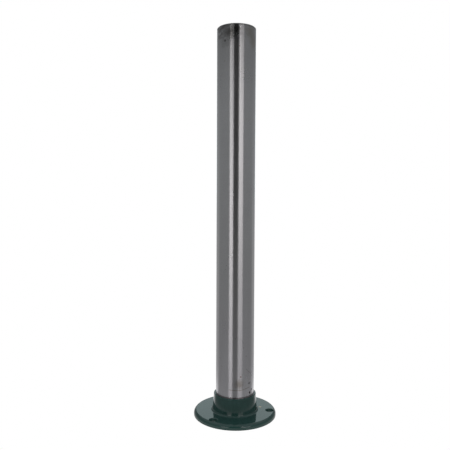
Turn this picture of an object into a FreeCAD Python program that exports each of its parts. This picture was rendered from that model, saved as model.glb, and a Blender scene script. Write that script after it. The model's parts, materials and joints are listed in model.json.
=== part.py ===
"""Machine column: a ground steel tube standing in the socket of a cast, three-hole flanged foot.

The frame is millimetres with +Z up along the column. The origin is the centre of the foot's underside, and
+X runs through one of the three bolt holes. The column's lower end drops into the socket and stands on the
ledge at its bottom, and two socket set screws in the collar's wall hold it there. A narrow groove round the
column marks where the collar ends and the free, ground length begins.
"""

import FreeCAD, Part
import math
import os

# --- Column: a ground steel tube ------------------------------------------------------------------
column_diameter = 46.0
column_wall = 3.0
column_length = 460.0
column_outer_chamfer = 1.0
column_inner_chamfer = 0.5
column_groove_width = 1.2        # the groove starts level with the collar's top
column_groove_depth = 0.5

# --- Foot: the socket that the column stands in ---------------------------------------------------
socket_clearance = 0.05          # radial gap between the column and the socket's bore
socket_depth = 23.0              # from the collar's top down to the ledge that carries the column
seat_ledge_width = 5.0           # how far the ledge reaches inwards from the column's outside
seat_ledge_thickness = 3.0
collar_top_wall = 2.5
collar_draft = 4.3               # degrees, so that the collar is thicker at its root
collar_rim_round = 0.8
socket_mouth_chamfer = 0.5
root_fillet = 2.5                # between the collar and the flange

# --- Foot: the flange and its bolt holes ----------------------------------------------------------
flange_diameter = 100.0
flange_thickness = 6.3
flange_top_round = 3.8
flange_bottom_round = 0.8
relief_depth = 1.0               # the underside's middle stands clear of what the foot is bolted to
underside_land_width = 14.0      # the flat ring that the foot stands on
bolt_count = 3
bolt_hole_diameter = 9.0         # clearance hole for an M8 bolt
bolt_centre_to_edge = 7.5        # from a bolt hole's centre to the flange's edge
bolt_hole_edge_break = 0.3

# --- Set screws: M5, socket head, cup point -------------------------------------------------------
screw_angles = {"set_screw_right": 30.0, "set_screw_rear": 90.0}     # degrees about +Z from +X
screw_depth_in_collar = 11.0     # from the collar's top down to the screw's axis
screw_diameter = 5.0
screw_length = 4.0
screw_end_chamfer = 0.4
screw_cup_diameter = 2.5
screw_cup_depth = 0.6
screw_hex_across_flats = 2.5
screw_hex_depth = 2.0
thread_clearance = 0.05          # radial, between the screw and its tapped hole
screw_tip_clearance = 0.05       # between the cup's rim and the column

# --- Sizes that follow from those above -----------------------------------------------------------
column_radius = column_diameter / 2
column_bore_radius = column_radius - column_wall
column_groove_radius = column_radius - column_groove_depth
socket_radius = column_radius + socket_clearance
seat_opening_radius = column_radius - seat_ledge_width
seat_height = relief_depth + seat_ledge_thickness
collar_height = seat_height + socket_depth
column_groove_top = collar_height + column_groove_width
collar_top_radius = socket_radius + collar_top_wall
collar_spread = (collar_height - flange_thickness) * math.tan(math.radians(collar_draft))
collar_root_radius = collar_top_radius + collar_spread
flange_radius = flange_diameter / 2
bolt_circle_radius = flange_radius - bolt_centre_to_edge
relief_radius = flange_radius - underside_land_width
screw_height = collar_height - screw_depth_in_collar

ORIGIN = FreeCAD.Vector(0, 0, 0)
UP = FreeCAD.Vector(0, 0, 1)
ALONG_Y = FreeCAD.Vector(0, 1, 0)


def rounded_corner(before, corner, after, radius):
    """Start, middle and end of the arc that rounds one corner of an outline."""
    to_before = (before - corner).normalize()
    to_after = (after - corner).normalize()
    half_angle = to_before.getAngle(to_after) / 2
    reach = radius / math.tan(half_angle)
    inwards = (to_before + to_after).normalize()
    middle = corner + inwards * (radius / math.sin(half_angle) - radius)
    return corner + to_before * reach, middle, corner + to_after * reach


def turned(outline):
    """A solid of revolution about Z. Each point of its outline is (radius, height, rounding)."""
    points = [FreeCAD.Vector(radius, 0, height) for radius, height, _ in outline]
    starts, ends, edges = [], [], []
    for i, corner in enumerate(points):
        rounding = outline[i][2]
        if rounding > 0:
            after = points[(i + 1) % len(points)]
            start, middle, end = rounded_corner(points[i - 1], corner, after, rounding)
            edges.append(Part.Arc(start, middle, end).toShape())
        else:
            start = end = corner
        starts.append(start)
        ends.append(end)
    for i, end in enumerate(ends):
        edges.append(Part.LineSegment(end, starts[(i + 1) % len(starts)]).toShape())
    wire = Part.Wire(Part.__sortEdges__(edges))
    return Part.Face(wire).revolve(ORIGIN, UP, 360)


def column_tube():
    """The column: a straight ground tube, chamfered at both ends, with a groove at the collar's top."""
    bottom = seat_height
    top = bottom + column_length
    return turned([
        (column_bore_radius, bottom + column_inner_chamfer, 0),
        (column_bore_radius + column_inner_chamfer, bottom, 0),
        (column_radius - column_outer_chamfer, bottom, 0),
        (column_radius, bottom + column_outer_chamfer, 0),
        (column_radius, collar_height, 0),
        (column_groove_radius, collar_height, 0),
        (column_groove_radius, column_groove_top, 0),
        (column_radius, column_groove_top, 0),
        (column_radius, top - column_outer_chamfer, 0),
        (column_radius - column_outer_chamfer, top, 0),
        (column_bore_radius + column_inner_chamfer, top, 0),
        (column_bore_radius, top - column_inner_chamfer, 0),
    ])


def foot_casting():
    """The foot before drilling: flange, tapered collar, socket with its ledge, relieved underside."""
    return turned([
        (seat_opening_radius, relief_depth, 0),
        (relief_radius, relief_depth, 0),
        (relief_radius, 0, 0),
        (flange_radius, 0, flange_bottom_round),
        (flange_radius, flange_thickness, flange_top_round),
        (collar_root_radius, flange_thickness, root_fillet),
        (collar_top_radius, collar_height, collar_rim_round),
        (socket_radius + socket_mouth_chamfer, collar_height, 0),
        (socket_radius, collar_height - socket_mouth_chamfer, 0),
        (socket_radius, seat_height, 0),
        (seat_opening_radius, seat_height, 0),
    ])


def bolt_hole(angle):
    """What one bolt hole removes: a clearance bore with its upper edge broken all round."""
    radius = bolt_hole_diameter / 2
    through = Part.makeCylinder(radius, flange_thickness)
    mouth = Part.makeCone(radius, radius + bolt_hole_edge_break, bolt_hole_edge_break)
    mouth.translate(UP * (flange_thickness - bolt_hole_edge_break))
    hole = through.fuse(mouth)
    hole.translate(FreeCAD.Vector(bolt_circle_radius, 0, 0))
    hole.rotate(ORIGIN, UP, angle)
    return hole


def lay_along_radius(shape, inner_end, angle):
    """Turns a shape made along +Z so that it points away from the column at the screws' height."""
    shape.rotate(ORIGIN, ALONG_Y, 90)
    shape.translate(FreeCAD.Vector(inner_end, 0, screw_height))
    shape.rotate(ORIGIN, UP, angle)
    return shape


def screw_hole(angle):
    """What one set screw's tapped hole removes from the collar, its thread left out."""
    through_wall = collar_root_radius + root_fillet - column_radius
    hole = Part.makeCylinder(screw_diameter / 2 + thread_clearance, through_wall)
    return lay_along_radius(hole, column_radius, angle)


def column_foot():
    """The foot: the turned casting with its bolt holes and set-screw holes drilled."""
    foot = foot_casting()
    for i in range(bolt_count):
        foot = foot.cut(bolt_hole(i * 360 / bolt_count))
    for angle in screw_angles.values():
        foot = foot.cut(screw_hole(angle))
    return foot


def hexagonal_prism(across_flats, height):
    """A hexagonal prism standing on the origin, with a corner on +X."""
    across_corners = across_flats / math.cos(math.radians(30))
    corner = FreeCAD.Vector(across_corners / 2, 0, 0)
    turns = [FreeCAD.Rotation(UP, 60 * i) for i in range(7)]
    outline = Part.makePolygon([turn.multVec(corner) for turn in turns])
    return Part.Face(outline).extrude(UP * height)


def set_screw(angle):
    """A socket set screw, its thread left out. The cup faces the column and the hexagon faces out."""
    radius = screw_diameter / 2
    cup_radius = screw_cup_diameter / 2
    body = turned([
        (0, screw_cup_depth, 0),
        (cup_radius, 0, 0),
        (radius, radius - cup_radius, 0),
        (radius, screw_length - screw_end_chamfer, 0),
        (radius - screw_end_chamfer, screw_length, 0),
        (0, screw_length, 0),
    ])
    hexagon = hexagonal_prism(screw_hex_across_flats, screw_hex_depth)
    hexagon.translate(UP * (screw_length - screw_hex_depth))
    return lay_along_radius(body.cut(hexagon), column_radius + screw_tip_clearance, angle)


def main():
    os.makedirs("parts", exist_ok=True)
    column_tube().exportStep("parts/column_tube.step")
    column_foot().exportStep("parts/column_foot.step")
    for name, angle in screw_angles.items():
        set_screw(angle).exportStep(f"parts/{name}.step")


main()
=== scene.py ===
"""Machine column: the finished look of a ground steel tube that stands in an enamelled cast foot.

Everything is in metres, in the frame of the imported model: +Z runs up the column, the foot's underside is at
height 0, and +X runs through one of the three bolt holes. An angle on the column's wall is in degrees about
+Z from +X. An angle on the stage goes from the front, which is -Y, towards +X.
"""

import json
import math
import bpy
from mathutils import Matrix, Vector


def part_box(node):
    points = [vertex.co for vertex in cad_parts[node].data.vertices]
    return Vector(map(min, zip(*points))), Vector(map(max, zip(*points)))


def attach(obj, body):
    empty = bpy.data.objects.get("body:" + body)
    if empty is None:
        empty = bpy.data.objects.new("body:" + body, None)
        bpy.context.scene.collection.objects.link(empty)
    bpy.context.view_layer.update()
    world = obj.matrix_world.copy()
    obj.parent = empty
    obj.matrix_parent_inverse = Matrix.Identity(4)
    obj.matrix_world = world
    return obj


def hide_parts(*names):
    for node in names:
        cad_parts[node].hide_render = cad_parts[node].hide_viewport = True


bl_info = {
    "name": "Machine Column",
    "version": (1, 0, 0),
    "blender": (4, 5, 0),
    "location": "3D View > Sidebar > Column",
    "description": "Models a ground steel column, its enamelled cast foot and its set screws",
    "category": "Add Mesh",
}

import bmesh
import bpy
from mathutils import Matrix, Vector

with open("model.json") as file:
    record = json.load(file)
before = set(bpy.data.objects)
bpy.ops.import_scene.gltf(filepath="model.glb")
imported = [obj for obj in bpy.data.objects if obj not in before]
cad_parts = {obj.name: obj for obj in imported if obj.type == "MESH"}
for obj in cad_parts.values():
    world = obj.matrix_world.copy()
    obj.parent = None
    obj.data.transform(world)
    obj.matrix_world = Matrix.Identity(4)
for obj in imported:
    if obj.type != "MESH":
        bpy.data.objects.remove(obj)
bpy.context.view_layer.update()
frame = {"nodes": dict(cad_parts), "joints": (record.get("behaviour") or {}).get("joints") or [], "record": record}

MM = 0.001
COLUMN_LOW, COLUMN_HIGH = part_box("column_tube")
FOOT_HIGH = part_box("column_foot")[1]
MOUNTS = {mount["name"]: mount for mount in frame["record"]["mounts"]}
SCREW_AXES = {joint["child"]: Vector(joint["axis"]) for joint in frame["joints"]}
BOLTS, BORE = MOUNTS["flange_bolts"]["dims"], MOUNTS["column_bore"]["dims"]
SCREW_BODIES = ("screw_right", "screw_rear")

WHITE = (1.0, 1.0, 1.0)
BROWN = (0.24, 0.20, 0.14)
PIT = (0.03, 0.02, 0.02)


# --- Sizes and colours that a user would change ---


def property_maker(kind, **fixed):
    """A maker of one kind of property, from its name, description and default."""

    def make(name, description, default):
        return kind(name=name, description=description, default=default, **fixed)

    return make


length = property_maker(bpy.props.FloatProperty, unit="LENGTH", precision=5, min=0.0)
share = property_maker(bpy.props.FloatProperty, subtype="FACTOR", min=0.0, max=1.0)
turn = property_maker(bpy.props.FloatProperty, unit="ROTATION")
amount = property_maker(bpy.props.FloatProperty, min=0.0)
colour = property_maker(bpy.props.FloatVectorProperty, subtype="COLOR", size=3, min=0.0, max=1.0)
count = property_maker(bpy.props.IntProperty, min=3)


class ColumnSettings(bpy.types.PropertyGroup):
    bore_radius: length("Bore radius", "Radius of the tube's bore", BORE["r_mm"] * MM)
    outer_chamfer: length("Outer chamfer", "Chamfer on the outside of both ends", 1.0 * MM)
    inner_chamfer: length("Inner chamfer", "Chamfer at both mouths of the bore", 0.5 * MM)
    groove_width: length("Groove width", "Width of the groove above the collar", 1.2 * MM)
    groove_depth: length("Groove depth", "Depth of the groove above the collar", 0.5 * MM)
    edge_break: length("Edge break", "Rounding left on every turned edge", 0.12 * MM)
    sides: count("Sides", "Number of flats that the round wall is made of", 256)
    steel: colour("Steel", "Colour of the ground steel", (0.60, 0.60, 0.605))
    # Painted reflection: a lighter, lilac tint laid on the steel towards the collar.
    low_steel: colour("Lower steel", "Tint of the steel near the collar", (0.67, 0.655, 0.70))
    gloss: share("Roughness", "Roughness of the ground steel", 0.285)
    grain: share("Grain", "How far grinding round the axis draws the highlights out", 1.0)
    oil: colour("Oil", "Tint of old oil on the steel", (0.30, 0.29, 0.27))
    rust: colour("Rust", "Colour of rust on the steel", (0.16, 0.07, 0.04))


class FootSettings(bpy.types.PropertyGroup):
    socket_radius: length("Socket radius", "Radius of the socket's bore", 23.05 * MM)
    socket_depth: length("Socket depth", "Depth of the socket below the collar's top", 23.0 * MM)
    seat_radius: length("Seat opening", "Radius of the opening through the ledge", 18.0 * MM)
    seat_thickness: length("Seat thickness", "Thickness of the ledge that carries the column", 3.0 * MM)
    mouth_chamfer: length("Mouth chamfer", "Chamfer at the socket's mouth", 0.5 * MM)
    mouth_break: length("Mouth edge break", "Rounding left on that chamfer's outer edge", 0.12 * MM)
    collar_wall: length("Collar wall", "Thickness of the collar at its top", 2.5 * MM)
    collar_draft: turn("Collar draft", "Draft angle of the collar", math.radians(4.3))
    rim_round: length("Rim rounding", "Rounding of the collar's outer rim", 0.8 * MM)
    root_fillet: length("Root fillet", "Fillet between the collar and the flange", 2.5 * MM)
    flange_thickness: length("Flange thickness", "Thickness of the flange", 6.3 * MM)
    flange_round: length("Flange rounding", "Rounding of the flange's upper edge", 3.8 * MM)
    flange_foot_round: length("Lower rounding", "Rounding of the flange's lower edge", 0.8 * MM)
    land_width: length("Land width", "Width of the machined ring that the foot stands on", 14.0 * MM)
    hole_round: length("Hole rounding", "Rounding of the paint at each bolt hole's mouth", 1.1 * MM)
    edge_break: length("Edge break", "Rounding left on the other cast and machined edges", 0.25 * MM)
    screw_hole_radius: length("Screw hole radius", "Radius of each set screw's hole", 2.55 * MM)
    sides: count("Sides", "Number of flats that the round walls are made of", 256)
    enamel: colour("Enamel", "Colour of the enamel", (0.030, 0.080, 0.071))
    gloss: share("Roughness", "Roughness of the enamel", 0.07)
    filler: colour("Filler", "Colour of the filler that a chip in the enamel shows", (0.90, 0.80, 0.60))
    iron: colour("Iron", "Colour of the machined iron", (0.30, 0.29, 0.28))
    skin: colour("Casting skin", "Colour of the rough casting below the foot", (0.045, 0.042, 0.038))


class ScrewSettings(bpy.types.PropertyGroup):
    diameter: length("Diameter", "Outside diameter of the thread", 5.0 * MM)
    pitch: length("Pitch", "Pitch of the thread", 0.8 * MM)
    cup_diameter: length("Cup diameter", "Diameter of the cup point's rim", 2.5 * MM)
    cup_depth: length("Cup depth", "Depth of the cup point", 0.6 * MM)
    hexagon: length("Hexagon", "Width across the flats of the hexagon socket", 2.5 * MM)
    hexagon_depth: length("Hexagon depth", "Depth of the hexagon socket", 2.0 * MM)
    end_chamfer: length("End chamfer", "Chamfer at the outer end", 0.4 * MM)
    black: colour("Black oxide", "Colour of the blackened steel", (0.030, 0.029, 0.030))
    gloss: share("Roughness", "Roughness of the blackened steel", 0.36)


class StageSettings(bpy.types.PropertyGroup):
    camera_distance: length("Camera distance", "From the column's axis to the camera", 0.6458)
    camera_height: length("Camera height", "Height of the camera above the foot's underside", 0.2664)
    camera_round: turn("Camera angle", "Where the camera stands, from the front", math.radians(5.875))
    camera_heading: turn("Camera heading", "The camera's turn about the vertical", math.radians(7.013))
    camera_tilt: turn("Camera tilt", "How far the camera looks down", math.radians(3.077))
    camera_roll: turn("Camera roll", "The camera's roll", math.radians(0.22))
    camera_lens: amount("Lens", "Focal length in millimetres", 42.909)
    floor: amount("Floor", "Brightness of the floor as the object sees it", 0.40)
    room: amount("Room", "Brightness of the room's walls as the object sees them", 0.32)
    ceiling: amount("Ceiling", "What the ceiling adds to that", 0.30)


# --- Modelling helpers ---


def deselect_all():
    if bpy.context.mode != "OBJECT":
        bpy.ops.object.mode_set(mode="OBJECT")
    bpy.ops.object.select_all(action="DESELECT")


def open_piece(name):
    """Names the primitive that was just added, puts its place into its mesh and opens it for editing, vertex
    by vertex, so that a bare outline can be extruded."""
    piece = bpy.context.object
    piece.name = piece.data.name = name
    bpy.ops.object.transform_apply(location=True, rotation=True, scale=True)
    bpy.ops.object.mode_set(mode="EDIT")
    bpy.ops.mesh.select_mode(type="VERT")
    return piece


def from_axis(point):
    return math.hypot(point.x, point.y)


def choose(kind, wanted):
    """Selects the "verts", "edges" or "faces" of the mesh being edited for which wanted(part) is true."""
    bpy.ops.mesh.select_mode(type={"verts": "VERT", "edges": "EDGE", "faces": "FACE"}[kind])
    bpy.ops.mesh.select_all(action="DESELECT")
    data = bpy.context.edit_object.data
    mesh = bmesh.from_edit_mesh(data)
    for part in getattr(mesh, kind):
        if wanted(part):
            part.select_set(True)
    bmesh.update_edit_mesh(data)


def round_ring(radius, height, reach, steps):
    """Rounds the ring of edges at a radius and height, or chamfers it where steps is 1."""

    def on_ring(edge):
        return all(
            abs(from_axis(vertex.co) - radius) < 0.01 * MM and abs(vertex.co.z - height) < 0.01 * MM
            for vertex in edge.verts
        )

    choose("edges", on_ring)
    bpy.ops.mesh.bevel(offset=reach, segments=steps, affect="EDGES", offset_type="OFFSET")


def close_seams():
    bpy.ops.mesh.select_all(action="SELECT")
    bpy.ops.mesh.remove_doubles(threshold=0.001 * MM)
    bpy.ops.mesh.normals_make_consistent(inside=False)


def draw_rings(outline, first):
    """Extrudes a ring from each (radius, height) of an outline to the next."""
    for (radius, height), (next_radius, next_height) in zip([first] + outline, outline):
        bpy.ops.mesh.extrude_region_move(TRANSFORM_OT_translate={"value": (0, 0, next_height - height)})
        widen = next_radius / radius
        bpy.ops.transform.resize(value=(widen, widen, 1), center_override=(0, 0, next_height))


def turned_ring(name, outline, sides):
    """Opens a hollow body of revolution for editing. Its outline closes on itself."""
    deselect_all()
    radius, height = outline[0]
    bpy.ops.mesh.primitive_circle_add(vertices=sides, radius=radius, location=(0, 0, height))
    piece = open_piece(name)
    draw_rings(outline[1:] + outline[:1], outline[0])
    close_seams()
    return piece


def turned_bar(name, outline, sides):
    """Opens a solid body of revolution for editing, with a flat face at both ends."""
    deselect_all()
    radius, height = outline[0]
    bpy.ops.mesh.primitive_circle_add(
        vertices=sides, radius=radius, location=(0, 0, height), fill_type="NGON"
    )
    piece = open_piece(name)
    draw_rings(outline[1:], outline[0])
    close_seams()
    return piece


def move_mesh(piece, matrix):
    """Moves a piece by moving its mesh, so that its object stays at the origin."""
    deselect_all()
    piece.data.transform(matrix)
    piece.data.update()


def lay_along(axis, start, height):
    """Takes what was made along +Z from the origin to a start on an axis that leaves the column sideways."""
    turned = Vector((0, 0, 1)).rotation_difference(axis).to_matrix().to_4x4()
    return Matrix.Translation(axis * start + Vector((0, 0, height))) @ turned


def apply_modifier(piece, kind, **settings):
    deselect_all()
    bpy.context.view_layer.objects.active = piece
    piece.select_set(True)
    modifier = piece.modifiers.new(kind.lower(), kind)
    for name, value in settings.items():
        setattr(modifier, name, value)
    bpy.ops.object.modifier_apply(modifier=modifier.name)


def cut(piece, cutter, operation="DIFFERENCE"):
    """Cuts one solid by another, and removes the cutter."""
    deselect_all()
    apply_modifier(piece, "BOOLEAN", object=cutter, operation=operation, solver="EXACT")
    bpy.data.meshes.remove(cutter.data)


def finish_piece(piece, body, node, crease):
    """Shades a piece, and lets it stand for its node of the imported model."""
    if not piece.data.polygons:
        raise RuntimeError(piece.name + " came out empty")
    deselect_all()
    bpy.context.view_layer.objects.active = piece
    piece.select_set(True)
    bpy.ops.object.shade_smooth_by_angle(angle=math.radians(crease))
    apply_modifier(piece, "WEIGHTED_NORMAL", keep_sharp=True, weight=90)
    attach(piece, body)
    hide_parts(node)


def give_materials(piece, materials, which):
    """Gives a piece its materials, and each face the one that which(face) numbers."""
    for material in materials:
        piece.data.materials.append(material)
    for face in piece.data.polygons:
        face.material_index = which(face)


# --- Shader helpers ---


def feed(tree, socket, value):
    """Links a socket to another socket, or sets it to a value. A colour is always opaque."""
    if isinstance(value, bpy.types.NodeSocket):
        tree.links.new(value, socket)
    elif socket.type == "RGBA":
        socket.default_value = (*value[:3], 1.0)
    else:
        socket.default_value = value


def bare_tree(owner):
    """The emptied node tree of a material or a world."""
    owner.use_nodes = True
    owner.node_tree.nodes.clear()
    return owner.node_tree


def add_node(tree, kind, inputs=None, **settings):
    made = tree.nodes.new("ShaderNode" + kind)
    for name, value in settings.items():
        setattr(made, name, value)
    for name, value in (inputs or {}).items():
        feed(tree, made.inputs[name], value)
    return made


def calc(tree, operation, *values, clamp=False):
    made = add_node(tree, "Math", dict(enumerate(values)), operation=operation, use_clamp=clamp)
    return made.outputs[0]


def vector_calc(tree, operation, *values, out="Vector"):
    return add_node(tree, "VectorMath", dict(enumerate(values)), operation=operation).outputs[out]


def scaled(tree, vector, factor):
    """A vector times a number."""
    return add_node(tree, "VectorMath", {0: vector, "Scale": factor}, operation="SCALE").outputs["Vector"]


def object_place(tree):
    """Where a point lies in the object's own frame."""
    return add_node(tree, "TexCoord").outputs["Object"]


def split(tree, vector):
    """The X, Y and Z of a vector."""
    return add_node(tree, "SeparateXYZ", {"Vector": vector}).outputs


def fade(tree, value, low, high, start=0.0, end=1.0):
    """Goes smoothly from start to end while the value goes from low to high."""
    inputs = {"Value": value, "From Min": low, "From Max": high, "To Min": start, "To Max": end}
    return add_node(tree, "MapRange", inputs, interpolation_type="SMOOTHSTEP").outputs[0]


def mix_colours(tree, mask, first, second):
    """The first colour where the mask is 0, the second where it is 1."""
    made = add_node(tree, "Mix", data_type="RGBA")
    for number, value in ((0, mask), (6, first), (7, second)):
        feed(tree, made.inputs[number], value)
    return made.outputs[2]


def shade(rgb, factor):
    """A lighter or darker colour."""
    return [channel * factor for channel in rgb]


def raise_surface(tree, shader, height, strength, distance):
    """Bends the light as if the surface rose by a distance, in metres, where the height goes from 0 to 1."""
    bump = add_node(tree, "Bump", {"Height": height, "Strength": strength, "Distance": distance})
    feed(tree, shader["Normal"], bump.outputs[0])


def new_group(name, inputs, label, kind="Float"):
    """A node group with (name, kind, default) sockets going in and one socket coming out."""
    group = bpy.data.node_groups.new(name, "ShaderNodeTree")
    for title, sort, default in inputs:
        socket = group.interface.new_socket(title, in_out="INPUT", socket_type="NodeSocket" + sort)
        if default is not None:
            socket.default_value = default
    group.interface.new_socket(label, in_out="OUTPUT", socket_type="NodeSocket" + kind)
    return group, group.nodes.new("NodeGroupInput").outputs, group.nodes.new("NodeGroupOutput").inputs[0]


def effect(tree, make, **inputs):
    """Places a shared effect in a material, building its group the first time. Returns its output."""
    group = bpy.data.node_groups.get(make.__name__) or make(make.__name__)
    titled = {name.capitalize(): value for name, value in inputs.items()}
    return add_node(tree, "Group", titled, node_tree=group).outputs[0]


def new_material(name, metallic):
    """A material with a Principled shader. Returns the material, its tree and the shader's inputs."""
    material = bpy.data.materials.new(name)
    tree = bare_tree(material)
    shader = add_node(tree, "BsdfPrincipled", {"Metallic": metallic})
    add_node(tree, "OutputMaterial", {"Surface": shader.outputs[0]})
    return material, tree, shader.inputs


# --- Shared effects ---


def unrolled_wall(name):
    """Where a point lies on a round wall that is rolled out flat: along its girth, then its height."""
    group, given, result = new_group(name, [("Radius", "Float", 0.023)], "Place", "Vector")
    point = split(group, object_place(group))
    angle = calc(group, "ARCTAN2", point["Y"], point["X"])
    girth = calc(group, "MULTIPLY", angle, given["Radius"])
    feed(group, result, add_node(group, "CombineXYZ", {"X": girth, "Y": point["Z"]}).outputs[0])
    return group


def mottling(name):
    """Soft, irregular variation from 0 to 1. Grain is its coarseness along each axis, per metre."""
    grain = ("Grain", "Vector", (100.0, 100.0, 100.0))
    inputs = [grain, ("Detail", "Float", 3.0), ("Contrast", "Float", 1.0)]
    group, given, result = new_group(name, inputs, "Value")
    stretched = vector_calc(group, "MULTIPLY", object_place(group), given["Grain"])
    noise = add_node(group, "TexNoise", {"Vector": stretched, "Scale": 1.0, "Detail": given["Detail"]})
    centred = calc(group, "SUBTRACT", noise.outputs[0], 0.5)
    spread = calc(group, "MULTIPLY", centred, given["Contrast"])
    feed(group, result, calc(group, "ADD", spread, 0.5, clamp=True))
    return group


def stain(name):
    """A patch with a ragged edge, round a centre."""
    inputs = [
        ("Place", "Vector", None),
        ("Centre", "Vector", None),
        ("Size", "Vector", (0.001, 0.001, 1.0)),
        ("Ragged", "Float", 0.001),
        ("Softness", "Float", 0.5),
    ]
    group, given, result = new_group(name, inputs, "Mask")
    grain = calc(group, "DIVIDE", 0.6, calc(group, "MAXIMUM", given["Ragged"], 0.0002))
    noise = add_node(group, "TexNoise", {"Vector": object_place(group), "Scale": grain, "Detail": 3.0})
    torn = vector_calc(group, "SUBTRACT", noise.outputs[1], (0.5, 0.5, 0.5))
    torn = scaled(group, torn, calc(group, "MULTIPLY", given["Ragged"], 4.0))
    away = vector_calc(group, "SUBTRACT", vector_calc(group, "ADD", given["Place"], torn), given["Centre"])
    away = vector_calc(group, "MULTIPLY", vector_calc(group, "DIVIDE", away, given["Size"]), (1, 1, 0))
    distance = vector_calc(group, "LENGTH", away, out="Value")
    inner = calc(group, "SUBTRACT", 1.0, given["Softness"])
    feed(group, result, fade(group, distance, 1.0, inner))
    return group


def scratch(name):
    """A fine straight mark from one place to another."""
    places = [(title, "Vector", None) for title in ("Place", "Start", "End")]
    group, given, result = new_group(name, places + [("Width", "Float", 0.0002)], "Mask")
    reach = vector_calc(group, "SUBTRACT", given["Place"], given["Start"])
    line = vector_calc(group, "SUBTRACT", given["End"], given["Start"])
    dot = vector_calc(group, "DOT_PRODUCT", reach, line, out="Value")
    full = vector_calc(group, "DOT_PRODUCT", line, line, out="Value")
    nearest = scaled(group, line, calc(group, "DIVIDE", dot, full, clamp=True))
    distance = vector_calc(group, "LENGTH", vector_calc(group, "SUBTRACT", reach, nearest), out="Value")
    feed(group, result, fade(group, distance, given["Width"], 0.0))
    return group


def specks(name):
    """Small round specks, scattered thinly. Spacing is in metres, and so is Size."""
    inputs = [("Spacing", "Float", 0.005), ("Size", "Float", 0.0003), ("Share", "Float", 0.3)]
    group, given, result = new_group(name, inputs, "Mask")
    scale = calc(group, "DIVIDE", 1.0, given["Spacing"])
    cells = add_node(group, "TexVoronoi", {"Vector": object_place(group), "Scale": scale}).outputs
    distance = calc(group, "MULTIPLY", cells["Distance"], given["Spacing"])
    dot = fade(group, distance, given["Size"], 0.0)
    draw = add_node(group, "SeparateColor", {"Color": cells["Color"]}).outputs[0]
    kept = calc(group, "LESS_THAN", draw, given["Share"])
    feed(group, result, calc(group, "MULTIPLY", dot, kept))
    return group


def turning_marks(name):
    """The fine rings that a turning tool or a grinding wheel leaves round the axis, as a height."""
    inputs = [("Pitch", "Float", 0.0002), ("Unevenness", "Float", 0.5)]
    group, given, result = new_group(name, inputs, "Height")
    point = split(group, object_place(group))
    flat = add_node(group, "CombineXYZ", {"X": point["X"], "Y": point["Y"]}).outputs[0]
    radius = vector_calc(group, "LENGTH", flat, out="Value")
    travel = calc(group, "ADD", radius, point["Z"])
    turns = calc(group, "DIVIDE", travel, given["Pitch"])
    wave = calc(group, "SINE", calc(group, "MULTIPLY", turns, math.tau))
    coarse = add_node(group, "TexNoise", {"W": turns, "Scale": 0.9, "Detail": 4.0}, noise_dimensions="1D")
    uneven = calc(group, "MULTIPLY", coarse.outputs[0], given["Unevenness"])
    ridge = calc(group, "MULTIPLY", wave, calc(group, "SUBTRACT", 1.0, given["Unevenness"]))
    feed(group, result, calc(group, "ADD", calc(group, "MULTIPLY", ridge, 0.5), uneven))
    return group


# --- Materials ---


class Coat:
    """A surface's colour, with stains and marks laid over it one after another. Places lie in its X and Y."""

    def __init__(self, tree, colour_now, place):
        self.tree, self.colour, self.place = tree, colour_now, place

    def layer(self, mask, strength, tint):
        """Lays a tint over the colour where a mask says."""
        cover = calc(self.tree, "MULTIPLY", mask, strength)
        self.colour = mix_colours(self.tree, cover, self.colour, tint)

    def patch(self, centre, across_mm, up_mm, strength, tint, ragged_mm, softness=0.6):
        """Lays a ragged stain round a centre, and returns its mask."""
        mask = effect(
            self.tree, stain, place=self.place, centre=centre, size=(across_mm * MM, up_mm * MM, 1.0),
            ragged=ragged_mm * MM, softness=softness,
        )
        self.layer(mask, strength, tint)
        return mask

    def mark(self, start, end, width_mm, strength, tint):
        """Lays a fine straight mark from one place to another."""
        mask = effect(self.tree, scratch, place=self.place, start=start, end=end, width=width_mm * MM)
        self.layer(mask, strength, tint)


def on_wall(degrees, height_mm):
    """A place on the column's unrolled wall, from an angle round it and a height in millimetres."""
    girth = COLUMN_HIGH.x * math.radians((degrees + 180) % 360 - 180)
    return (girth, height_mm * MM, 0.0)


def lay_old_oil(wall, dark_oil):
    """Old oil near the column's top, on the left, and a brown film on the right. Returns the wet place."""
    tree, top = wall.tree, COLUMN_HIGH.z
    along = split(tree, wall.place)
    wet = wall.patch(on_wall(254, 457), 21.0, 11.0, 0.55, dark_oil, 3.0, 0.9)
    wall.patch(on_wall(258, 451), 9.0, 9.0, 0.45, dark_oil, 2.0, 0.9)
    wall.patch(on_wall(240, 442), 8.0, 8.0, 0.25, dark_oil, 3.0, 0.9)
    blotch = effect(tree, mottling, grain=(130, 130, 260), detail=4.0, contrast=3.2)
    film = calc(tree, "MULTIPLY", blotch, fade(tree, along["Y"], top - 26 * MM, top - 8 * MM))
    on_left = fade(tree, along["X"], on_wall(306, 0)[0], on_wall(276, 0)[0], 0.15, 1.0)
    wall.layer(calc(tree, "MULTIPLY", film, on_left), 0.75, dark_oil)
    wall.layer(fade(tree, along["Y"], top - 3.5 * MM, top - 1.0 * MM), 0.45, dark_oil)
    wall.patch(on_wall(241, 445), 1.3, 1.6, 0.90, dark_oil, 0.4, 0.4)
    wall.patch(on_wall(278, 457), 4.0, 5.0, 0.60, dark_oil, 1.5)
    wall.patch(on_wall(320, 455), 11.0, 12.0, 0.42, BROWN, 3.0, 0.95)
    wall.patch(on_wall(336, 445), 9.0, 12.0, 0.42, BROWN, 3.0, 0.95)
    return wet


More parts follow.
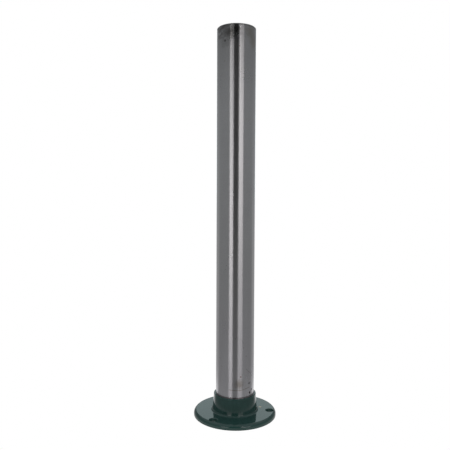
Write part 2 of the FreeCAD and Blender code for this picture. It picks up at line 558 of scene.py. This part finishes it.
def lay_spots(wall, dark_oil, rust):
    """Spots of rust and dirt, most of them near the collar."""
    wall.patch(on_wall(285, 438), 0.9, 0.7, 0.95, (0.17, 0.05, 0.04), 0.2)
    wall.patch(on_wall(240, 422), 1.0, 0.9, 0.50, BROWN, 0.4)
    wall.patch(on_wall(300, 304), 0.8, 0.8, 0.40, dark_oil, 0.3)
    wall.patch(on_wall(302, 87.5), 0.6, 0.7, 0.55, rust, 0.2)
    wall.patch(on_wall(311, 77), 0.8, 0.8, 0.45, rust, 0.3)
    wall.patch(on_wall(225, 73.5), 1.4, 0.6, 0.35, BROWN, 0.4)
    wall.patch(on_wall(233, 64), 1.4, 0.6, 0.30, BROWN, 0.4)
    wall.patch(on_wall(293, 53), 1.2, 1.1, 0.95, rust, 0.3, 0.4)
    wall.patch(on_wall(324, 43.5), 2.6, 1.5, 0.70, dark_oil, 0.6)
    wall.patch(on_wall(289, 44), 9.0, 8.0, 0.55, BROWN, 1.5, 0.9)
    wall.patch(on_wall(327, 31.8), 1.6, 2.0, 0.97, PIT, 0.3, 0.4)
    wall.patch(on_wall(336, 34.6), 1.3, 1.8, 0.92, PIT, 0.3, 0.4)


def lay_scratches(wall, dark_oil):
    """Scratches, and the line of a run of dirty oil above the collar."""
    wall.mark(on_wall(293, 98.5), on_wall(301, 92.8), 0.35, 0.35, dark_oil)
    wall.mark(on_wall(311, 61.7), on_wall(326, 56.0), 0.50, 0.55, dark_oil)
    wall.mark(on_wall(326, 56.0), on_wall(339, 50.4), 0.45, 0.45, dark_oil)
    bend = on_wall(290, 36.6)
    wall.mark(on_wall(258, 37.4), bend, 0.70, 0.65, BROWN)
    wall.mark(bend, on_wall(325, 38.8), 0.70, 0.65, BROWN)


def lay_collar_rust(wall, rust):
    """Rust where the column goes into the collar, and in the groove. Returns its mask."""
    tree, collar = wall.tree, FOOT_HIGH.z
    height = split(tree, wall.place)["Y"]
    above = fade(tree, height, collar + 1.5 * MM, collar + 0.6 * MM)
    below = fade(tree, height, collar - 1.5 * MM, collar - 0.2 * MM)
    rusted = calc(tree, "MULTIPLY", above, below)
    wall.layer(rusted, 0.28, rust)
    return rusted


def ground_steel(settings):
    """Steel ground round its axis: soft mottling, old oil at the top, and the marks of handling."""
    material, tree, shader = new_material("ground_steel_finish", 1.0)
    place = effect(tree, unrolled_wall, radius=COLUMN_HIGH.x)
    cloud = effect(tree, mottling, grain=(55, 55, 26), detail=4.0, contrast=1.6)
    grit = effect(tree, mottling, grain=(700, 700, 700), detail=2.0, contrast=2.0)
    bands = effect(tree, mottling, grain=(30, 30, 1900), detail=3.0, contrast=1.6)
    tone = calc(tree, "MULTIPLY_ADD", cloud, 0.45, calc(tree, "MULTIPLY", grit, 0.35))
    tone = calc(tree, "MULTIPLY_ADD", bands, 0.20, tone)
    bare = mix_colours(tree, tone, shade(settings.steel, 0.86), shade(settings.steel, 1.13))

    wall = Coat(tree, bare, place)
    dark_oil = shade(settings.oil, 0.35)
    height = split(tree, place)["Y"]
    # Painted reflection: the steel made lighter and more lilac towards the collar.
    wall.layer(fade(tree, height, 0.22, 0.03), 0.5, settings.low_steel)
    # Darker towards the top, laid in the dark oil's tint.
    wall.layer(fade(tree, height, 0.36, 0.46), 0.24, dark_oil)
    wet = lay_old_oil(wall, dark_oil)
    lay_spots(wall, dark_oil, settings.rust)
    lay_scratches(wall, dark_oil)
    rusted = lay_collar_rust(wall, settings.rust)
    wall.layer(effect(tree, specks, spacing=0.007, size=0.0004, share=0.22), 0.45, dark_oil)
    feed(tree, shader["Base Color"], wall.colour)

    rough = calc(tree, "MULTIPLY_ADD", cloud, 0.05, settings.gloss - 0.025)
    rough = calc(tree, "MULTIPLY_ADD", wet, -0.04, rough)
    feed(tree, shader["Roughness"], calc(tree, "MULTIPLY_ADD", rusted, 0.3, rough))
    shader["Anisotropic"].default_value = settings.grain
    shader["Anisotropic Rotation"].default_value = 0.25
    feed(tree, shader["Tangent"], add_node(tree, "Tangent", direction_type="RADIAL", axis="Z").outputs[0])
    rings = effect(tree, turning_marks, pitch=0.00025, unevenness=0.8)
    raise_surface(tree, shader, calc(tree, "MULTIPLY_ADD", grit, 0.6, rings), 0.6, 0.0015 * MM)
    return material


def mill_scale():
    """The dark, drawn surface inside the tube."""
    material, tree, shader = new_material("mill_scale", 0.7)
    streaks = effect(tree, mottling, grain=(420, 420, 25), detail=4.0, contrast=2.0)
    cloud = effect(tree, mottling, grain=(60, 60, 60), detail=4.0, contrast=2.2)
    bluish = mix_colours(tree, streaks, (0.045, 0.047, 0.052), (0.11, 0.11, 0.115))
    rusty = calc(tree, "MULTIPLY", fade(tree, cloud, 0.5, 0.85), 0.6)
    feed(tree, shader["Base Color"], mix_colours(tree, rusty, bluish, (0.10, 0.055, 0.035)))
    feed(tree, shader["Roughness"], calc(tree, "MULTIPLY_ADD", cloud, 0.25, 0.42))
    raise_surface(tree, shader, streaks, 0.5, 0.04 * MM)
    return material


def green_enamel(settings):
    """Glossy dark green enamel over a casting: slight waves, dust, and a few chips."""
    material, tree, shader = new_material("green_enamel_finish", 0.0)
    cloud = effect(tree, mottling, grain=(70, 70, 70), detail=3.0, contrast=1.6)
    clean = mix_colours(tree, cloud, shade(settings.enamel, 0.90), shade(settings.enamel, 1.10))
    coat = Coat(tree, clean, object_place(tree))
    dust = calc(tree, "MULTIPLY", effect(tree, specks, spacing=0.0032, size=0.00022, share=0.25), 0.25)
    coat.layer(dust, 1.0, (0.30, 0.30, 0.27))

    def chip(x_mm, y_mm, across_mm, up_mm, strength, tint):
        return coat.patch((x_mm * MM, y_mm * MM, 0.0), across_mm, up_mm, strength, tint, 0.3, 0.35)

    chipped = chip(30.7, 9.0, 2.2, 2.0, 1.0, settings.filler)
    # A faint pale spot at the left end of the collar's root.
    chip(-29.4, 0.9, 0.8, 0.6, 0.35, settings.filler)
    chip(-12.0, -40.5, 0.4, 0.3, 0.5, (0.01, 0.02, 0.02))
    chip(-48.6, -9.0, 0.5, 0.7, 0.8, (0.01, 0.015, 0.015))
    chip(20.0, 36.0, 0.7, 0.5, 0.6, settings.filler)
    feed(tree, shader["Base Color"], coat.colour)

    rough = calc(tree, "MULTIPLY_ADD", cloud, 0.04, settings.gloss - 0.02)
    rough = calc(tree, "ADD", rough, calc(tree, "MULTIPLY", chipped, 0.5))
    feed(tree, shader["Roughness"], calc(tree, "ADD", rough, dust))
    shader["IOR"].default_value = 1.5
    peel = effect(tree, mottling, grain=(330, 330, 330), detail=2.0, contrast=1.5)
    wave = effect(tree, mottling, grain=(90, 90, 90), detail=1.0, contrast=1.0)
    height = calc(tree, "MULTIPLY_ADD", wave, 1.5, peel)
    height = calc(tree, "SUBTRACT", height, calc(tree, "MULTIPLY", chipped, 6.0))
    raise_surface(tree, shader, height, 0.7, 0.012 * MM)
    return material


def machined_iron(settings):
    """Iron as the lathe leaves it, with rings round the axis and a touch of rust."""
    material, tree, shader = new_material("machined_iron", 0.9)
    rings = effect(tree, turning_marks, pitch=0.0004, unevenness=0.35)
    cloud = effect(tree, mottling, grain=(120, 120, 120), detail=4.0, contrast=2.0)
    shaded = mix_colours(tree, rings, shade(settings.iron, 0.75), settings.iron)
    rusty = calc(tree, "MULTIPLY", fade(tree, cloud, 0.55, 0.9), 0.6)
    feed(tree, shader["Base Color"], mix_colours(tree, rusty, shaded, (0.13, 0.07, 0.045)))
    feed(tree, shader["Roughness"], calc(tree, "MULTIPLY_ADD", cloud, 0.2, 0.28))
    raise_surface(tree, shader, rings, 0.5, 0.02 * MM)
    return material


def casting_skin(settings):
    """The rough sand-cast skin below the foot."""
    material, tree, shader = new_material("casting_skin", 0.2)
    cloud = effect(tree, mottling, grain=(90, 90, 90), detail=4.0, contrast=2.0)
    sand = effect(tree, mottling, grain=(1400, 1400, 1400), detail=4.0, contrast=2.0)
    feed(tree, shader["Base Color"], mix_colours(tree, cloud, settings.skin, (0.085, 0.06, 0.045)))
    feed(tree, shader["Roughness"], calc(tree, "MULTIPLY_ADD", sand, 0.25, 0.6))
    raise_surface(tree, shader, calc(tree, "MULTIPLY_ADD", cloud, 2.0, sand), 0.8, 0.12 * MM)
    return material


def black_steel(settings):
    """Blackened steel, with a little oil and the black worn brown here and there."""
    material, tree, shader = new_material("black_steel_finish", 1.0)
    cloud = effect(tree, mottling, grain=(500, 500, 500), detail=3.0, contrast=2.0)
    worn = calc(tree, "MULTIPLY", fade(tree, cloud, 0.6, 0.9), 0.7)
    feed(tree, shader["Base Color"], mix_colours(tree, worn, settings.black, (0.11, 0.095, 0.085)))
    feed(tree, shader["Roughness"], calc(tree, "MULTIPLY_ADD", cloud, 0.16, settings.gloss - 0.08))
    raise_surface(tree, shader, cloud, 0.4, 0.01 * MM)
    return material


# --- The column ---


class COLUMN_OT_tube(bpy.types.Operator):
    """Models the ground steel tube, with its chamfered ends and the groove above the collar"""

    bl_idname = "column.tube"
    bl_label = "Column Tube"

    def execute(self, context):
        size = context.scene.column_tube
        outside, bore = COLUMN_HIGH.x, size.bore_radius
        bottom, top = COLUMN_LOW.z, COLUMN_HIGH.z
        groove, collar = outside - size.groove_depth, FOOT_HIGH.z
        outline = [
            (bore, bottom),
            (outside, bottom),
            (outside, collar),
            (groove, collar),
            (groove, collar + size.groove_width),
            (outside, collar + size.groove_width),
            (outside, top),
            (bore, top),
        ]
        tube = turned_ring("column_finish", outline, size.sides)
        for height, inwards in ((bottom, 1), (top, -1)):
            round_ring(outside, height, size.outer_chamfer, 1)
            round_ring(bore, height, size.inner_chamfer, 1)
            round_ring(outside - size.outer_chamfer, height, size.edge_break, 2)
            round_ring(outside, height + inwards * size.outer_chamfer, size.edge_break, 2)
            round_ring(bore + size.inner_chamfer, height, size.edge_break, 2)
        for height in (collar, collar + size.groove_width):
            round_ring(outside, height, size.edge_break, 2)
        deselect_all()

        def inside_the_bore(face):
            return int(from_axis(face.center) < bore + 0.05 * MM)

        give_materials(tube, [ground_steel(size), mill_scale()], inside_the_bore)
        finish_piece(tube, "column", "column_tube", 50)
        return {"FINISHED"}


# --- The foot ---


def bolt_places():
    """The centre of each bolt hole, the first of them on +X."""
    circle = BOLTS["pcd_mm"] / 2 * MM
    angles = [i * math.tau / BOLTS["count"] for i in range(BOLTS["count"])]
    return [Vector((circle * math.cos(angle), circle * math.sin(angle), 0)) for angle in angles]


def drill_bolt_hole(foot, size, place):
    """Drills one bolt hole, its mouth flared where the enamel rounds the edge."""
    hair, beyond = 0.004 * MM, 3 * MM
    radius, top = BOLTS["hole_r_mm"] * MM, size.flange_thickness + hair
    head = radius + size.hole_round
    outline = [(radius, -beyond), (radius, top), (head + beyond, top), (head + beyond, top + beyond)]
    drill = turned_bar("drill", outline, 96)
    round_ring(radius, top, size.hole_round, 6)
    move_mesh(drill, Matrix.Translation(place))
    cut(foot, drill)


def drill_screw_hole(foot, size, axis, height):
    """Drills one set screw's hole through the collar, with its mouth countersunk a little."""
    radius = size.screw_hole_radius
    inner = size.socket_radius - 1 * MM
    wall = collar_radius(size, height)
    sink, flare, beyond = 0.35 * MM, 4 * MM, 40 * MM
    outline = [
        (radius, inner),
        (radius, wall - sink),
        (radius + 3 * sink, wall + 2 * sink),
        (flare, beyond),
    ]
    drill = turned_bar("drill", outline, 64)
    move_mesh(drill, lay_along(axis, 0, height))
    cut(foot, drill)


def collar_radius(size, height):
    """The collar's outside radius at a height: it spreads downwards by its draft."""
    return size.socket_radius + size.collar_wall + (FOOT_HIGH.z - height) * math.tan(size.collar_draft)


def drill_foot(foot, size):
    """Drills the bolt holes, then the set screws' holes."""
    for place in bolt_places():
        drill_bolt_hole(foot, size, place)
    for body in SCREW_BODIES:
        low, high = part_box("set_" + body)
        drill_screw_hole(foot, size, SCREW_AXES[body], (low.z + high.z) / 2)


class COLUMN_OT_foot(bpy.types.Operator):
    """Models the cast foot: flange, tapered collar, socket with its ledge, and all its holes"""

    bl_idname = "column.foot"
    bl_label = "Cast Foot"

    def execute(self, context):
        size = context.scene.column_foot
        top, flange, edge = FOOT_HIGH.z, size.flange_thickness, FOOT_HIGH.x
        seat = top - size.socket_depth
        recess = seat - size.seat_thickness
        land = edge - size.land_width
        collar_top, root = collar_radius(size, top), collar_radius(size, flange)
        mouth = size.socket_radius + size.mouth_chamfer
        outline = [
            (size.seat_radius, recess),
            (land, recess),
            (land, 0.0),
            (edge, 0.0),
            (edge, flange),
            (root, flange),
            (collar_top, top),
            (mouth, top),
            (size.socket_radius, top - size.mouth_chamfer),
            (size.socket_radius, seat),
            (size.seat_radius, seat),
        ]
        foot = turned_ring("foot_casting", outline, size.sides)
        half = math.radians(45) + size.collar_draft / 2
        round_ring(edge, 0.0, size.flange_foot_round, 5)
        round_ring(edge, flange, size.flange_round, 14)
        round_ring(root, flange, size.root_fillet / math.tan(half), 10)
        round_ring(collar_top, top, size.rim_round * math.tan(half), 8)
        round_ring(mouth, top, size.mouth_break, 2)
        for radius, heights in ((land, (0.0, recess)), (size.seat_radius, (recess, seat))):
            for height in heights:
                round_ring(radius, height, size.edge_break, 3)
        deselect_all()
        drill_foot(foot, size)

        def surface(face):
            """0 is enamel, 1 machined iron, 2 casting skin, with a small allowance at each border."""
            radius, height = from_axis(face.center), face.center.z
            if radius < land - 0.3 * MM and height < recess + 0.05 * MM:
                return 2
            in_socket = radius < mouth + 0.02 * MM
            underside = height < 0.02 * MM
            through_wall = seat < height < top - 2 * MM and radius < collar_radius(size, height) - 0.05 * MM
            return int(in_socket or underside or (through_wall and height > flange + size.root_fillet))

        materials = [green_enamel(size), machined_iron(size), casting_skin(size)]
        give_materials(foot, materials, surface)
        finish_piece(foot, "foot", "column_foot", 40)
        return {"FINISHED"}


# --- The set screws ---


def threaded_rod(size, start, end):
    """A rod with a real thread, longer at both ends than what is to be cut from it."""
    depth = 0.54 * size.pitch
    root = size.diameter / 2 - depth
    deselect_all()
    bpy.ops.mesh.primitive_plane_add(size=MM)
    rod = open_piece("rod")
    bpy.ops.mesh.select_all(action="SELECT")
    bpy.ops.mesh.merge(type="CENTER")
    bpy.ops.transform.translate(value=(root, 0, start - 1.6 * size.pitch))
    # Outwards in metres, then upwards in pitches: the root, a flank, the crest and the other flank.
    steps = [(0, 0.25), (depth, 0.3125), (0, 0.125), (-depth, 0.3125)]
    turns = math.ceil((end - start) / size.pitch) + 3
    for across, rise in steps * turns:
        bpy.ops.mesh.extrude_region_move(TRANSFORM_OT_translate={"value": (across, 0, rise * size.pitch)})
    apply_modifier(
        rod, "SCREW", axis="Z", angle=math.tau, screw_offset=size.pitch, iterations=1,
        steps=48, render_steps=48, use_merge_vertices=False,
    )
    bpy.ops.object.mode_set(mode="EDIT")
    close_seams()
    bpy.ops.mesh.fill_holes(sides=0)
    choose("faces", lambda face: len(face.verts) > 8)
    bpy.ops.mesh.poke()
    close_seams()
    deselect_all()
    return rod


def set_screw(name, size, span):
    """A cup-point set screw standing on the origin, its point down and its hexagon socket up."""
    radius, cup = size.diameter / 2, size.cup_diameter / 2
    chamfer, hair, rim = size.end_chamfer, 0.01 * MM, 0.12 * MM
    outline = [
        (cup, 0.0),
        (radius + hair, radius - cup),
        (radius + hair, span - chamfer),
        (radius - chamfer, span),
    ]
    screw = turned_bar(name, outline, 96)
    choose("faces", lambda face: face.calc_center_median().z < 0.001 * MM and face.normal.z < -0.9)
    bpy.ops.mesh.inset(thickness=rim)
    bpy.ops.mesh.poke(offset=-size.cup_depth)
    deselect_all()
    cut(screw, threaded_rod(size, -0.5 * MM, span + 0.5 * MM), "INTERSECT")
    corner = size.hexagon / math.sqrt(3)
    wrench = turned_bar("wrench", [(corner, span - size.hexagon_depth), (corner, span + 1 * MM)], 6)
    cut(screw, wrench)
    return screw


class COLUMN_OT_screws(bpy.types.Operator):
    """Models the two hexagon socket set screws, with their threads and cup points"""

    bl_idname = "column.screws"
    bl_label = "Set Screws"

    def execute(self, context):
        size = context.scene.column_screws
        finish = black_steel(size)
        for body in SCREW_BODIES:
            node = "set_" + body
            low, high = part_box(node)
            axis = SCREW_AXES[body]
            reach = [abs(axis.dot(vertex.co)) for vertex in frame["nodes"][node].data.vertices]
            screw = set_screw(body + "_finish", size, max(reach) - min(reach))
            move_mesh(screw, lay_along(axis, min(reach), (low.z + high.z) / 2))
            give_materials(screw, [finish], lambda face: 0)
            finish_piece(screw, body, node, 35)
        return {"FINISHED"}


# --- The stage ---


def camera_place(size):
    """The camera's place, from its distance, its angle round the column and its height."""
    around, reach = size.camera_round, size.camera_distance
    return Vector((math.sin(around) * reach, -math.cos(around) * reach, size.camera_height))


def glow(name, radiance, tint, middle=None, half=1.0):
    """A glowing material that lights the object. With a middle height, it fades above and below it."""
    material = bpy.data.materials.new(name)
    tree = bare_tree(material)
    strength = radiance
    if middle is not None:
        height = split(tree, object_place(tree))["Z"]
        off = calc(tree, "ABSOLUTE", calc(tree, "SUBTRACT", height, middle))
        strength = fade(tree, off, half * 0.2, half, radiance, 0.0)
    light = add_node(tree, "Emission", {"Color": tint, "Strength": strength})
    add_node(tree, "OutputMaterial", {"Surface": light.outputs[0]})
    return material


def panel(name, material, facing, span, distance, low, high):
    """Stands an upright panel round the column, at an angle from the front. Its span is an angle too."""
    width = 2 * distance * math.tan(span / 2)
    deselect_all()
    bpy.ops.mesh.primitive_plane_add(size=1)
    board = bpy.context.object
    board.name = board.data.name = name
    upright = Matrix.Rotation(facing, 4, "Z") @ Matrix.Translation((0, -distance, (low + high) / 2))
    stretch = Matrix.Diagonal((width, 1, high - low, 1))
    move_mesh(board, upright @ stretch @ Matrix.Rotation(math.radians(90), 4, "X"))
    board.data.materials.append(material)
    board.visible_camera = False
    board.visible_shadow = False


def light_stage(camera_side):
    """Stands two softboxes, a dark card between them, two small lamps above and a backdrop behind."""
    softbox_tint = (1.0, 0.955, 0.965)
    left = glow("softbox_left", 2.8, softbox_tint, 0.20, 0.34)
    right = glow("softbox_right", 2.15, softbox_tint, 0.40, 0.38)
    lamp = glow("lamp", 8.0, (1.0, 0.97, 0.96))
    back = glow("backdrop", 1.0, (0.86, 1.0, 1.02))
    dark = glow("dark_card", 0.0, WHITE)
    # Each row: its name and material, its angle from the camera's side and its span in degrees, and in metres
    # its distance and the heights of its lower and upper edge.
    for name, material, facing, span, distance, low, high in (
        ("softbox_left", left, -26.5, 21, 1.3, 0.08, 0.55),
        ("softbox_right", right, 30, 26, 1.3, 0.16, 0.75),
        ("dark_card", dark, 0, 29, 1.31, 0.0, 1.9),
        ("backdrop", back, 180, 34, 1.2, 0.25, 0.9),
        ("lamp_left", lamp, -34, 5, 1.25, 1.07, 1.19),
        ("lamp_right", lamp, 25, 5, 1.25, 1.07, 1.19),
    ):
        panel(name, material, camera_side + math.radians(facing), math.radians(span), distance, low, high)


def floor_brightness(tree, size):
    """What the object sees of the floor: a pool of light before each softbox, and glare behind the column.
    Angles are degrees from the camera's side, and reaches are metres from the axis."""
    turned = add_node(
        tree, "Mapping", {"Vector": object_place(tree), "Rotation": (0, 0, -size.camera_round)}
    ).outputs[0]
    parts = split(tree, turned)
    side = calc(tree, "ARCTAN2", parts["X"], calc(tree, "MULTIPLY", parts["Y"], -1.0))
    reach = vector_calc(tree, "LENGTH", turned, out="Value")

    def sector(degrees, half, edge):
        """1 in a sector of the floor, seen from the column, fading to 0 at its edges."""
        off = calc(tree, "ABSOLUTE", calc(tree, "SUBTRACT", side, math.radians(degrees)))
        return fade(tree, off, math.radians(half - edge), math.radians(half + edge), 1.0, 0.0)

    behind_it = fade(tree, calc(tree, "ABSOLUTE", side), math.radians(100), math.radians(125))
    # Painted light and shade on the floor: brighter right round the foot, darker beyond it except behind the
    # column.
    near = fade(tree, reach, 0.055, 0.095, 1.5, 0.55)
    near = calc(tree, "MAXIMUM", near, behind_it)
    pool = calc(tree, "MULTIPLY", fade(tree, reach, 0.12, 0.24), fade(tree, reach, 0.35, 1.2, 1.0, 0.3))
    glare = calc(tree, "MULTIPLY", behind_it, fade(tree, reach, 0.09, 0.16, 1.0, 0.0))
    left = calc(tree, "MULTIPLY", sector(-26, 11, 4), pool)
    right = calc(tree, "MULTIPLY", sector(29, 14, 4), pool)
    tone = 1.0
    # The first sector is painted shade: the floor darker in front of the column.
    for mask, gain in ((sector(0, 14, 4), -0.15), (left, 0.55), (right, 0.35), (glare, 1.5)):
        tone = calc(tree, "MULTIPLY_ADD", mask, gain, tone)
    return calc(tree, "MULTIPLY", calc(tree, "MULTIPLY", tone, near), size.floor)


def floor_material(size):
    """Plain and white to the camera from above, clear from below, and a pale floor to the object."""
    material = bpy.data.materials.new("pale_floor")
    tree = bare_tree(material)
    seen = add_node(tree, "LightPath").outputs["Is Camera Ray"]
    white = add_node(tree, "Emission", {"Color": WHITE, "Strength": 1.0})
    lit = add_node(tree, "Emission", {"Color": WHITE, "Strength": floor_brightness(tree, size)})
    above = add_node(tree, "MixShader", {0: seen, 1: lit.outputs[0], 2: white.outputs[0]})
    behind = add_node(tree, "NewGeometry").outputs["Backfacing"]
    below = calc(tree, "MULTIPLY", behind, seen)
    clear = add_node(tree, "BsdfTransparent")
    both = add_node(tree, "MixShader", {0: below, 1: above.outputs[0], 2: clear.outputs[0]})
    add_node(tree, "OutputMaterial", {"Surface": both.outputs[0]})
    return material


def light_room(scene, size):
    """White to the camera. To the object, a grey room, darker above eye level, with a pale ceiling."""
    world = bpy.data.worlds.new("studio")
    scene.world = world
    tree = bare_tree(world)
    seen = add_node(tree, "LightPath").outputs["Is Camera Ray"]
    rise = split(tree, add_node(tree, "TexCoord").outputs["Generated"])["Z"]
    wall = fade(tree, rise, 0.05, 0.40, size.room, size.room * 0.6)
    grey = calc(tree, "ADD", wall, fade(tree, rise, 0.45, 0.80, 0.0, size.ceiling))
    plain = add_node(tree, "Background", {"Color": (0.97, 1.0, 1.03), "Strength": grey})
    white = add_node(tree, "Background", {"Color": WHITE, "Strength": 1.0})
    both = add_node(tree, "MixShader", {0: seen, 1: plain.outputs[0], 2: white.outputs[0]})
    add_node(tree, "OutputWorld", {"Surface": both.outputs[0]})


def set_up_camera(scene, size):
    camera = bpy.data.objects.new("camera", bpy.data.cameras.new("camera"))
    scene.collection.objects.link(camera)
    camera.data.lens = size.camera_lens
    camera.data.sensor_width = 36
    camera.data.clip_start, camera.data.clip_end = 0.01, 50
    camera.matrix_world = (
        Matrix.Translation(camera_place(size))
        @ Matrix.Rotation(size.camera_heading, 4, "Z")
        @ Matrix.Rotation(math.radians(90) - size.camera_tilt, 4, "X")
        @ Matrix.Rotation(size.camera_roll, 4, "Z")
    )
    scene.camera = camera


class COLUMN_OT_stage(bpy.types.Operator):
    """Sets up the pale floor, the soft studio light and the camera"""

    bl_idname = "column.stage"
    bl_label = "Stage"

    def execute(self, context):
        scene, size = context.scene, context.scene.column_stage
        scene.view_settings.view_transform = "Standard"
        deselect_all()
        bpy.ops.mesh.primitive_plane_add(size=8)
        ground = bpy.context.object
        ground.name = ground.data.name = "floor"
        ground.data.materials.append(floor_material(size))
        light_room(scene, size)
        light_stage(size.camera_round)
        set_up_camera(scene, size)
        return {"FINISHED"}


# --- The sidebar and the run ---

PIECES = (
    ("column_stage", StageSettings, COLUMN_OT_stage),
    ("column_tube", ColumnSettings, COLUMN_OT_tube),
    ("column_foot", FootSettings, COLUMN_OT_foot),
    ("column_screws", ScrewSettings, COLUMN_OT_screws),
)


class COLUMN_PT_sidebar(bpy.types.Panel):
    """Lists the pieces of the machine column"""

    bl_idname = "COLUMN_PT_sidebar"
    bl_label = "Machine Column"
    bl_space_type = "VIEW_3D"
    bl_region_type = "UI"
    bl_category = "Column"

    def draw(self, context):
        for name, settings, operator in PIECES:
            box = self.layout.box()
            box.operator(operator.bl_idname)
            for value in settings.__annotations__:
                box.prop(getattr(context.scene, name), value)


def register():
    for name, settings, operator in PIECES:
        bpy.utils.register_class(settings)
        bpy.utils.register_class(operator)
        setattr(bpy.types.Scene, name, bpy.props.PointerProperty(type=settings))
    bpy.utils.register_class(COLUMN_PT_sidebar)


def unregister():
    bpy.utils.unregister_class(COLUMN_PT_sidebar)
    for name, settings, operator in reversed(PIECES):
        delattr(bpy.types.Scene, name)
        bpy.utils.unregister_class(operator)
        bpy.utils.unregister_class(settings)


def main():
    register()
    bpy.ops.column.stage()
    bpy.ops.column.tube()
    bpy.ops.column.foot()
    bpy.ops.column.screws()


if __name__ == "__main__":
    main()
